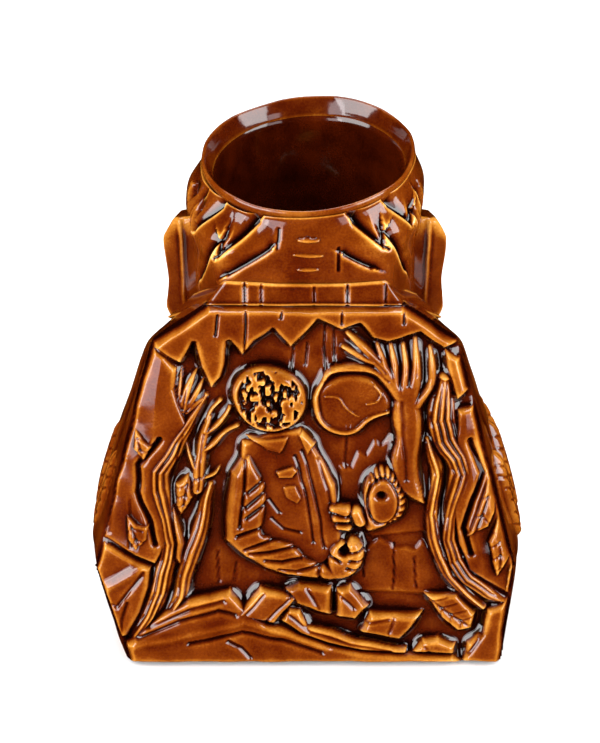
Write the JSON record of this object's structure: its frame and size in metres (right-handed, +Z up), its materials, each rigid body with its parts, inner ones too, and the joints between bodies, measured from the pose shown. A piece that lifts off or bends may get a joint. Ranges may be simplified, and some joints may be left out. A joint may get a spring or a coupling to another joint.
{
  "type": "tiki mug",
  "caption": "Glazed ceramic tiki mug: a cloaked bust whose open crown is the drinking mouth, with a carved forest scene in relief on the back.",
  "frame": {"origin": "middle of the footprint, on the surface the mug stands on", "axes": "+Z up; the bust's face looks along +Y and the relief scene on its back looks along -Y; +X is to the right seen from behind the bust"},
  "size_m": [0.1546, 0.1083, 0.1755],
  "materials": {
    "glaze_amber": "glossy amber-brown glaze, darker where it pools",
    "glaze_honey": "glossy honey glaze, thin and light over raised edges",
    "glaze_umber": "glossy glaze pooled almost black-brown",
    "bisque": "bare fired clay, matt"
  },
  "bodies": {
    "root": {"base_plate": "bisque", "cloak_shell": "glaze_amber", "collar_band": "glaze_honey", "head_shell": "glaze_amber", "rim_lip": "glaze_honey", "ear_left": "glaze_honey", "ear_right": "glaze_honey", "hair_left": "glaze_amber", "hair_right": "glaze_amber", "nape_ridge": "glaze_honey", "brow": "glaze_honey", "nose": "glaze_honey", "eyes": "glaze_umber", "cheeks": "glaze_amber", "mouth_lips": "glaze_honey", "chin": "glaze_amber", "necklace": "glaze_honey", "chest_leaves": "glaze_amber", "cave_fringe": "glaze_honey", "frame_left": "glaze_amber", "frame_right": "glaze_amber", "tree_left": "glaze_honey", "tree_left_fork": "glaze_honey", "dead_tree": "glaze_honey", "fronds_left": "glaze_honey", "leaves_left": "glaze_amber", "rock_left": "glaze_amber", "figure_head": "glaze_umber", "figure_collar": "glaze_honey", "figure_jacket": "glaze_amber", "figure_sleeve": "glaze_honey", "figure_pocket": "glaze_honey", "figure_hands": "glaze_honey", "figure_legs": "glaze_amber", "figure_boot": "glaze_honey", "held_gourd": "glaze_umber", "back_tree": "glaze_honey", "vine_knot": "glaze_honey", "tree_right": "glaze_honey", "tree_right_branch": "glaze_honey", "leaves_right": "glaze_amber", "leaf_low": "glaze_honey", "rock_low": "glaze_amber", "root_log": "glaze_honey", "log_slab": "glaze_amber", "ground_strip": "glaze_amber", "side_leaves_left": "glaze_amber", "side_leaves_right": "glaze_amber"}
  },
  "joints": []
}
